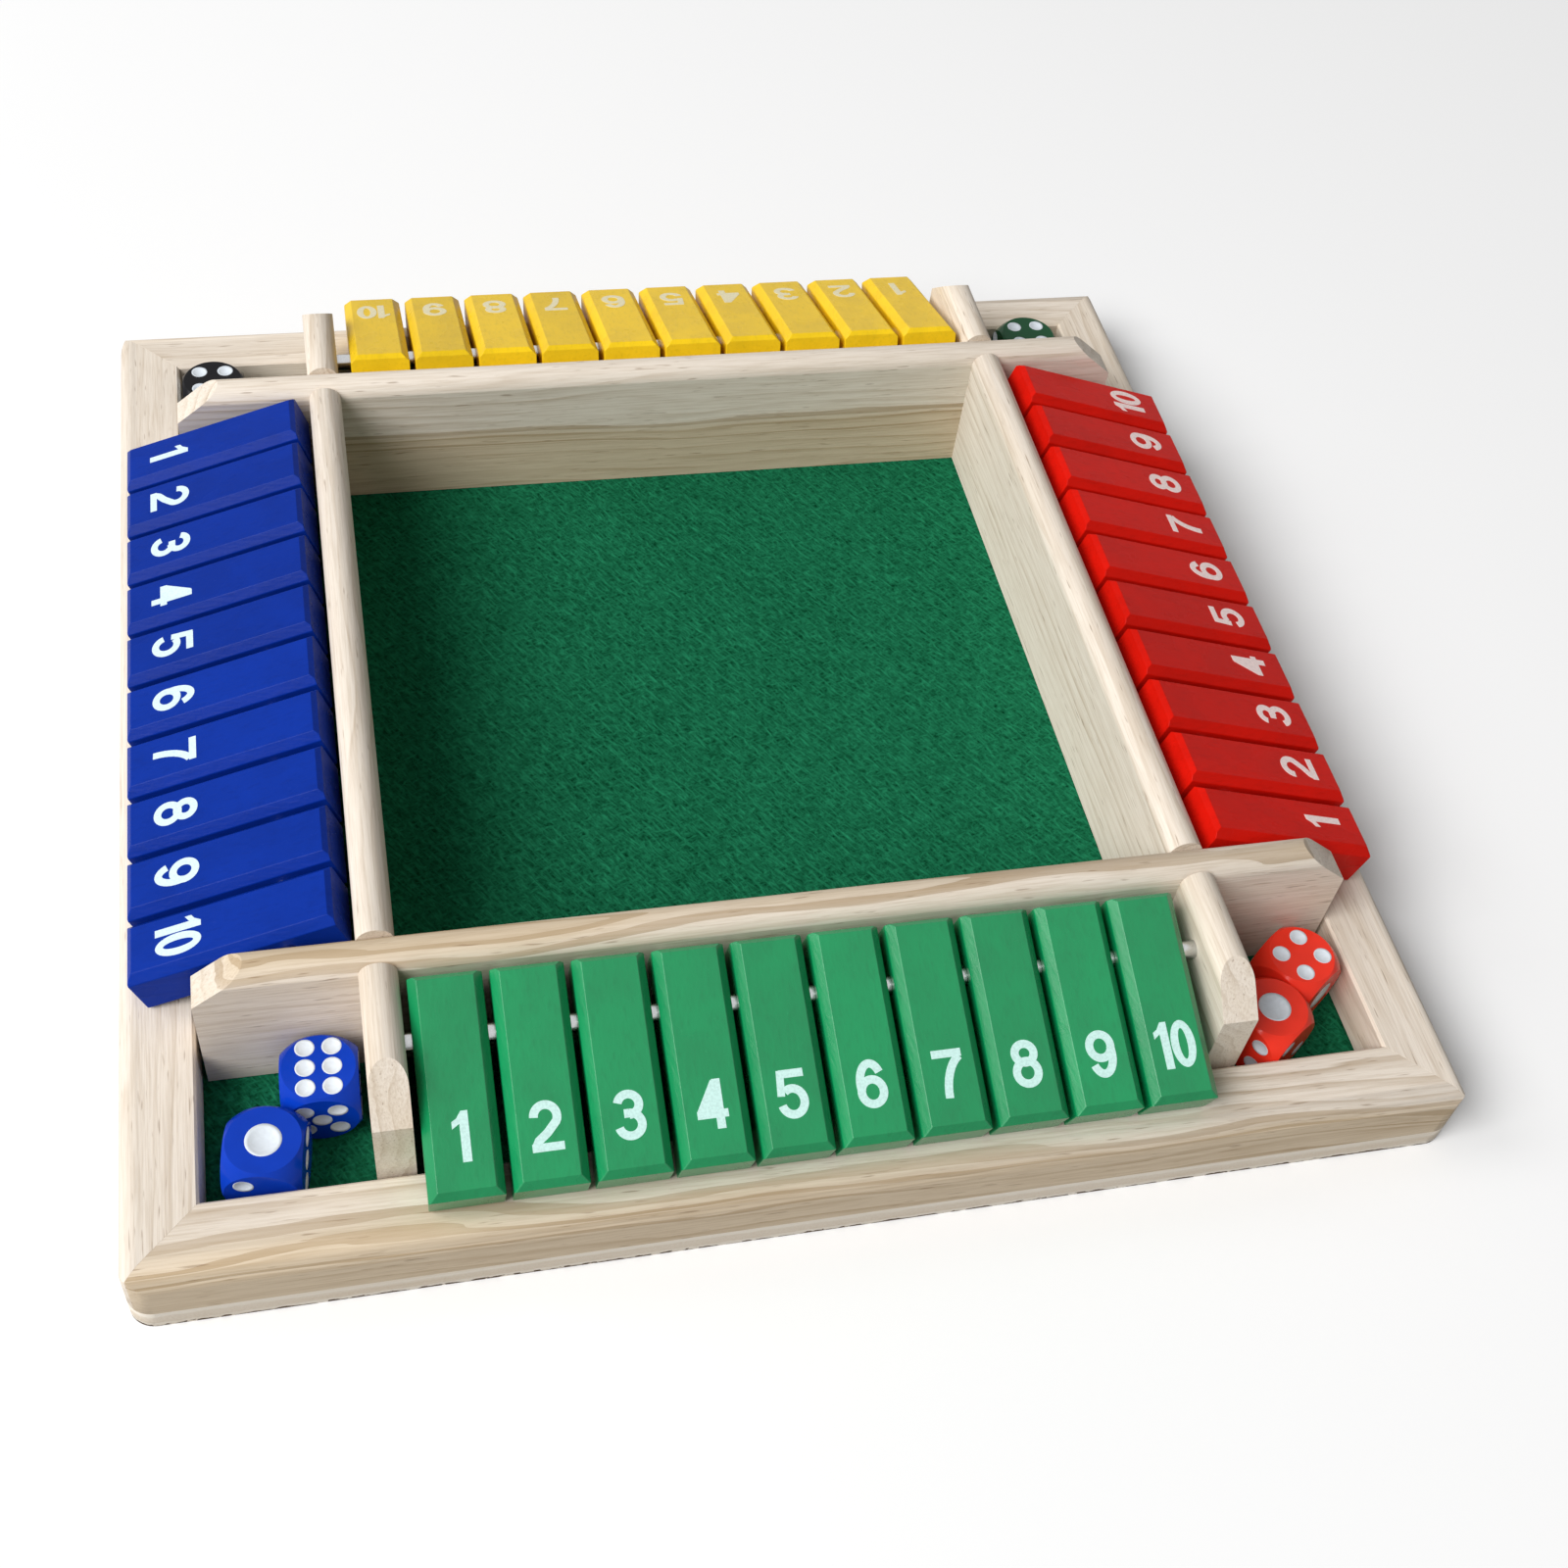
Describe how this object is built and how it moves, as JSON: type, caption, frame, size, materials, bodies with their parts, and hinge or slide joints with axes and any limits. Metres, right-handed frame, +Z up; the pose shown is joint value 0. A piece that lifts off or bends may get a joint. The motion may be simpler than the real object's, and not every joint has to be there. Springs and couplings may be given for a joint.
{
  "type": "shut the box game",
  "caption": "Square wooden dice game board with a felted rolling tray, a row of numbered flip tiles on a rod along each side, and corner wells that hold dice.",
  "frame": {"origin": "middle of the underside of the base board", "axes": "+Z up; the green row's player sits at -Y, red at +X, yellow at +Y and blue at -X"},
  "size_m": [0.288, 0.288, 0.0445],
  "materials": {
    "pine_frame": "sanded bare pine",
    "pine_wall": "sanded bare pine",
    "plywood": "sanded plywood edge",
    "felt": "green wool felt",
    "steel_wire": "bright drawn wire",
    "green_paint": "satin green paint on wood",
    "red_paint": "satin red paint on wood",
    "yellow_paint": "satin yellow paint on wood",
    "blue_paint": "satin blue paint on wood",
    "white_print": "screen-printed white ink",
    "blue_dice": "polished acrylic",
    "red_dice": "polished acrylic",
    "black_dice": "polished acrylic",
    "green_dice": "polished acrylic",
    "pip_paint": "white pip enamel"
  },
  "bodies": {
    "board": {"base_board": "plywood", "felt": "felt", "rail_front": "pine_frame", "rail_right": "pine_frame", "rail_back": "pine_frame", "rail_left": "pine_frame", "wall_front": "pine_wall", "wall_back": "pine_wall", "wall_left": "pine_wall", "wall_right": "pine_wall", "dividers": "pine_wall", "rods": "steel_wire"},
    "green_tile_1": {"green_tile_1": "green_paint"},
    "red_tile_1": {"red_tile_1": "red_paint"},
    "yellow_tile_1": {"yellow_tile_1": "yellow_paint"},
    "blue_tile_1": {"blue_tile_1": "blue_paint"},
    "green_tile_2": {"green_tile_2": "green_paint"},
    "red_tile_2": {"red_tile_2": "red_paint"},
    "yellow_tile_2": {"yellow_tile_2": "yellow_paint"},
    "blue_tile_2": {"blue_tile_2": "blue_paint"},
    "green_tile_3": {"green_tile_3": "green_paint"},
    "red_tile_3": {"red_tile_3": "red_paint"},
    "yellow_tile_3": {"yellow_tile_3": "yellow_paint"},
    "blue_tile_3": {"blue_tile_3": "blue_paint"},
    "green_tile_4": {"green_tile_4": "green_paint"},
    "red_tile_4": {"red_tile_4": "red_paint"},
    "yellow_tile_4": {"yellow_tile_4": "yellow_paint"},
    "blue_tile_4": {"blue_tile_4": "blue_paint"},
    "green_tile_5": {"green_tile_5": "green_paint"},
    "red_tile_5": {"red_tile_5": "red_paint"},
    "yellow_tile_5": {"yellow_tile_5": "yellow_paint"},
    "blue_tile_5": {"blue_tile_5": "blue_paint"},
    "green_tile_6": {"green_tile_6": "green_paint"},
    "red_tile_6": {"red_tile_6": "red_paint"},
    "yellow_tile_6": {"yellow_tile_6": "yellow_paint"},
    "blue_tile_6": {"blue_tile_6": "blue_paint"},
    "green_tile_7": {"green_tile_7": "green_paint"},
    "red_tile_7": {"red_tile_7": "red_paint"},
    "yellow_tile_7": {"yellow_tile_7": "yellow_paint"},
    "blue_tile_7": {"blue_tile_7": "blue_paint"},
    "green_tile_8": {"green_tile_8": "green_paint"},
    "red_tile_8": {"red_tile_8": "red_paint"},
    "yellow_tile_8": {"yellow_tile_8": "yellow_paint"},
    "blue_tile_8": {"blue_tile_8": "blue_paint"},
    "green_tile_9": {"green_tile_9": "green_paint"},
    "red_tile_9": {"red_tile_9": "red_paint"},
    "yellow_tile_9": {"yellow_tile_9": "yellow_paint"},
    "blue_tile_9": {"blue_tile_9": "blue_paint"},
    "green_tile_10": {"green_tile_10": "green_paint"},
    "red_tile_10": {"red_tile_10": "red_paint"},
    "yellow_tile_10": {"yellow_tile_10": "yellow_paint"},
    "blue_tile_10": {"blue_tile_10": "blue_paint"},
    "blue_die_1": {"blue_die_1": "blue_dice"},
    "blue_die_2": {"blue_die_2": "blue_dice"},
    "red_die_1": {"red_die_1": "red_dice"},
    "red_die_2": {"red_die_2": "red_dice"},
    "black_die_1": {"black_die_1": "black_dice"},
    "black_die_2": {"black_die_2": "black_dice"},
    "green_die_1": {"green_die_1": "green_dice"},
    "green_die_2": {"green_die_2": "green_dice"}
  },
  "joints": [
    {"name": "green_tile_1_flip", "type": "hinge", "parent": "board", "child": "green_tile_1", "pos_m": [-0.07635, -0.107, 0.035], "axis": [-1, 0, 0], "range_deg": [0, 148]},
    {"name": "red_tile_1_flip", "type": "hinge", "parent": "board", "child": "red_tile_1", "pos_m": [0.107, -0.07595, 0.035], "axis": [0, -1, 0], "range_deg": [0, 148]},
    {"name": "yellow_tile_1_flip", "type": "hinge", "parent": "board", "child": "yellow_tile_1", "pos_m": [0.07595, 0.107, 0.035], "axis": [1, 0, 0], "range_deg": [0, 148]},
    {"name": "blue_tile_1_flip", "type": "hinge", "parent": "board", "child": "blue_tile_1", "pos_m": [-0.107, 0.07625, 0.035], "axis": [0, 1, 0], "range_deg": [0, 148]},
    {"name": "blue_die_1_lift", "type": "slide", "parent": "board", "child": "blue_die_1", "axis": [0, 0, 1], "range_m": [0, 0.06]},
    {"name": "blue_die_2_lift", "type": "slide", "parent": "board", "child": "blue_die_2", "axis": [0, 0, 1], "range_m": [0, 0.06]},
    {"name": "red_die_1_lift", "type": "slide", "parent": "board", "child": "red_die_1", "axis": [0, 0, 1], "range_m": [0, 0.06]},
    {"name": "red_die_2_lift", "type": "slide", "parent": "board", "child": "red_die_2", "axis": [0, 0, 1], "range_m": [0, 0.06]},
    {"name": "black_die_1_lift", "type": "slide", "parent": "board", "child": "black_die_1", "axis": [0, 0, 1], "range_m": [0, 0.06]},
    {"name": "black_die_2_lift", "type": "slide", "parent": "board", "child": "black_die_2", "axis": [0, 0, 1], "range_m": [0, 0.06]},
    {"name": "green_die_1_lift", "type": "slide", "parent": "board", "child": "green_die_1", "axis": [0, 0, 1], "range_m": [0, 0.06]},
    {"name": "green_die_2_lift", "type": "slide", "parent": "board", "child": "green_die_2", "axis": [0, 0, 1], "range_m": [0, 0.06]},
    {"name": "green_tile_10_flip", "type": "hinge", "parent": "board", "child": "green_tile_10", "pos_m": [0.07395, -0.107, 0.035], "axis": [-1, 0, 0], "range_deg": [0, 148]},
    {"name": "red_tile_10_flip", "type": "hinge", "parent": "board", "child": "red_tile_10", "pos_m": [0.107, 0.07435, 0.035], "axis": [0, -1, 0], "range_deg": [0, 148]},
    {"name": "yellow_tile_10_flip", "type": "hinge", "parent": "board", "child": "yellow_tile_10", "pos_m": [-0.07435, 0.107, 0.035], "axis": [1, 0, 0], "range_deg": [0, 148]},
    {"name": "blue_tile_10_flip", "type": "hinge", "parent": "board", "child": "blue_tile_10", "pos_m": [-0.107, -0.07405, 0.035], "axis": [0, 1, 0], "range_deg": [0, 148]},
    {"name": "green_tile_5_flip", "type": "hinge", "parent": "board", "child": "green_tile_5", "pos_m": [-0.00955, -0.107, 0.035], "axis": [-1, 0, 0], "range_deg": [0, 148]},
    {"name": "red_tile_5_flip", "type": "hinge", "parent": "board", "child": "red_tile_5", "pos_m": [0.107, -0.00915, 0.035], "axis": [0, -1, 0], "range_deg": [0, 148]},
    {"name": "yellow_tile_5_flip", "type": "hinge", "parent": "board", "child": "yellow_tile_5", "pos_m": [0.00915, 0.107, 0.035], "axis": [1, 0, 0], "range_deg": [0, 148]},
    {"name": "blue_tile_5_flip", "type": "hinge", "parent": "board", "child": "blue_tile_5", "pos_m": [-0.107, 0.00945, 0.035], "axis": [0, 1, 0], "range_deg": [0, 148]},
    {"name": "green_tile_2_flip", "type": "hinge", "parent": "board", "child": "green_tile_2", "pos_m": [-0.05965, -0.107, 0.035], "axis": [-1, 0, 0], "range_deg": [0, 148]},
    {"name": "red_tile_2_flip", "type": "hinge", "parent": "board", "child": "red_tile_2", "pos_m": [0.107, -0.05925, 0.035], "axis": [0, -1, 0], "range_deg": [0, 148]},
    {"name": "yellow_tile_2_flip", "type": "hinge", "parent": "board", "child": "yellow_tile_2", "pos_m": [0.05925, 0.107, 0.035], "axis": [1, 0, 0], "range_deg": [0, 148]},
    {"name": "blue_tile_2_flip", "type": "hinge", "parent": "board", "child": "blue_tile_2", "pos_m": [-0.107, 0.05955, 0.035], "axis": [0, 1, 0], "range_deg": [0, 148]},
    {"name": "green_tile_3_flip", "type": "hinge", "parent": "board", "child": "green_tile_3", "pos_m": [-0.04295, -0.107, 0.035], "axis": [-1, 0, 0], "range_deg": [0, 148]},
    {"name": "red_tile_3_flip", "type": "hinge", "parent": "board", "child": "red_tile_3", "pos_m": [0.107, -0.04255, 0.035], "axis": [0, -1, 0], "range_deg": [0, 148]},
    {"name": "yellow_tile_3_flip", "type": "hinge", "parent": "board", "child": "yellow_tile_3", "pos_m": [0.04255, 0.107, 0.035], "axis": [1, 0, 0], "range_deg": [0, 148]},
    {"name": "blue_tile_3_flip", "type": "hinge", "parent": "board", "child": "blue_tile_3", "pos_m": [-0.107, 0.04285, 0.035], "axis": [0, 1, 0], "range_deg": [0, 148]},
    {"name": "green_tile_4_flip", "type": "hinge", "parent": "board", "child": "green_tile_4", "pos_m": [-0.02625, -0.107, 0.035], "axis": [-1, 0, 0], "range_deg": [0, 148]},
    {"name": "red_tile_4_flip", "type": "hinge", "parent": "board", "child": "red_tile_4", "pos_m": [0.107, -0.02585, 0.035], "axis": [0, -1, 0], "range_deg": [0, 148]},
    {"name": "yellow_tile_4_flip", "type": "hinge", "parent": "board", "child": "yellow_tile_4", "pos_m": [0.02585, 0.107, 0.035], "axis": [1, 0, 0], "range_deg": [0, 148]},
    {"name": "blue_tile_4_flip", "type": "hinge", "parent": "board", "child": "blue_tile_4", "pos_m": [-0.107, 0.02615, 0.035], "axis": [0, 1, 0], "range_deg": [0, 148]},
    {"name": "green_tile_6_flip", "type": "hinge", "parent": "board", "child": "green_tile_6", "pos_m": [0.00715, -0.107, 0.035], "axis": [-1, 0, 0], "range_deg": [0, 148]},
    {"name": "red_tile_6_flip", "type": "hinge", "parent": "board", "child": "red_tile_6", "pos_m": [0.107, 0.00755, 0.035], "axis": [0, -1, 0], "range_deg": [0, 148]},
    {"name": "yellow_tile_6_flip", "type": "hinge", "parent": "board", "child": "yellow_tile_6", "pos_m": [-0.00755, 0.107, 0.035], "axis": [1, 0, 0], "range_deg": [0, 148]},
    {"name": "blue_tile_6_flip", "type": "hinge", "parent": "board", "child": "blue_tile_6", "pos_m": [-0.107, -0.00725, 0.035], "axis": [0, 1, 0], "range_deg": [0, 148]},
    {"name": "green_tile_7_flip", "type": "hinge", "parent": "board", "child": "green_tile_7", "pos_m": [0.02385, -0.107, 0.035], "axis": [-1, 0, 0], "range_deg": [0, 148]},
    {"name": "red_tile_7_flip", "type": "hinge", "parent": "board", "child": "red_tile_7", "pos_m": [0.107, 0.02425, 0.035], "axis": [0, -1, 0], "range_deg": [0, 148]},
    {"name": "yellow_tile_7_flip", "type": "hinge", "parent": "board", "child": "yellow_tile_7", "pos_m": [-0.02425, 0.107, 0.035], "axis": [1, 0, 0], "range_deg": [0, 148]},
    {"name": "blue_tile_7_flip", "type": "hinge", "parent": "board", "child": "blue_tile_7", "pos_m": [-0.107, -0.02395, 0.035], "axis": [0, 1, 0], "range_deg": [0, 148]},
    {"name": "green_tile_8_flip", "type": "hinge", "parent": "board", "child": "green_tile_8", "pos_m": [0.04055, -0.107, 0.035], "axis": [-1, 0, 0], "range_deg": [0, 148]},
    {"name": "red_tile_8_flip", "type": "hinge", "parent": "board", "child": "red_tile_8", "pos_m": [0.107, 0.04095, 0.035], "axis": [0, -1, 0], "range_deg": [0, 148]},
    {"name": "yellow_tile_8_flip", "type": "hinge", "parent": "board", "child": "yellow_tile_8", "pos_m": [-0.04095, 0.107, 0.035], "axis": [1, 0, 0], "range_deg": [0, 148]},
    {"name": "blue_tile_8_flip", "type": "hinge", "parent": "board", "child": "blue_tile_8", "pos_m": [-0.107, -0.04065, 0.035], "axis": [0, 1, 0], "range_deg": [0, 148]},
    {"name": "green_tile_9_flip", "type": "hinge", "parent": "board", "child": "green_tile_9", "pos_m": [0.05725, -0.107, 0.035], "axis": [-1, 0, 0], "range_deg": [0, 148]},
    {"name": "red_tile_9_flip", "type": "hinge", "parent": "board", "child": "red_tile_9", "pos_m": [0.107, 0.05765, 0.035], "axis": [0, -1, 0], "range_deg": [0, 148]},
    {"name": "yellow_tile_9_flip", "type": "hinge", "parent": "board", "child": "yellow_tile_9", "pos_m": [-0.05765, 0.107, 0.035], "axis": [1, 0, 0], "range_deg": [0, 148]},
    {"name": "blue_tile_9_flip", "type": "hinge", "parent": "board", "child": "blue_tile_9", "pos_m": [-0.107, -0.05735, 0.035], "axis": [0, 1, 0], "range_deg": [0, 148]}
  ]
}
